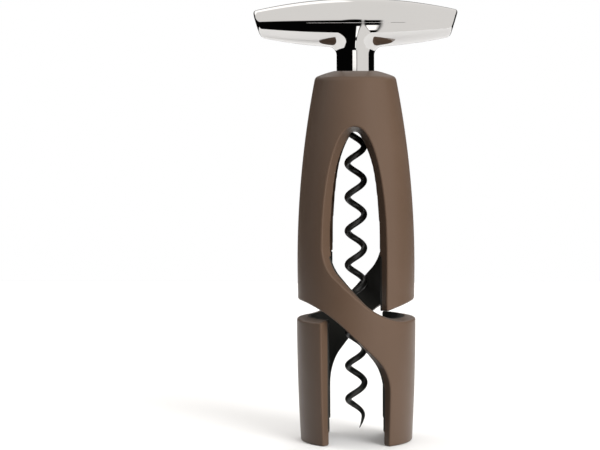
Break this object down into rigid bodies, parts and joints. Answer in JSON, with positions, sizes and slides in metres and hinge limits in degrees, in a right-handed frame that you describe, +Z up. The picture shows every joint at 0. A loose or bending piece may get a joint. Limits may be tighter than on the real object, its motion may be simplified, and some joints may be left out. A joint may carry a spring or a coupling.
{
  "type": "self-pulling corkscrew",
  "caption": "T-handled corkscrew: a hollow barrel with two twisting legs stands over a bottle's neck, and a chrome handle turns a coiled worm that draws the cork up.",
  "frame": {"origin": "on the worm's axis, in the plane that the feet stand on", "axes": "+Z up along the worm, +X along the handle to its right end, -Y out through the front windows"},
  "size_m": [0.0786, 0.0458, 0.17],
  "materials": {
    "shell": "soft-touch brown, matt",
    "liner": "black, fine grained, matt",
    "sleeve": "black acetal, satin",
    "stop_rubber": "black soft rubber",
    "wear_ring": "dark filled PTFE",
    "steel": "plain spring and turned steel",
    "handle_chrome": "polished chrome plate",
    "worm_coat": "black non-stick coat on steel wire, satin"
  },
  "bodies": {
    "frame": {"outer_shell": "shell", "leg_liner_a": "liner", "leg_liner_b": "liner", "stop_pad_front": "stop_rubber", "stop_pad_rear": "stop_rubber", "guide_sleeve": "sleeve", "sleeve_circlip": "steel", "thrust_washer": "steel"},
    "guide_ring": {"wear_ring": "wear_ring"},
    "handle": {"handle": "handle_chrome", "worm_hub": "steel", "hub_pin": "steel", "worm": "worm_coat"}
  },
  "joints": [
    {"name": "handle_lift", "type": "slide", "parent": "frame", "child": "guide_ring", "axis": [0, 0, 1], "range_m": [0, 0.14]},
    {"name": "handle_spin", "type": "hinge", "parent": "guide_ring", "child": "handle", "pos_m": [0, 0, 0], "axis": [0, 0, 1], "continuous": true}
  ]
}
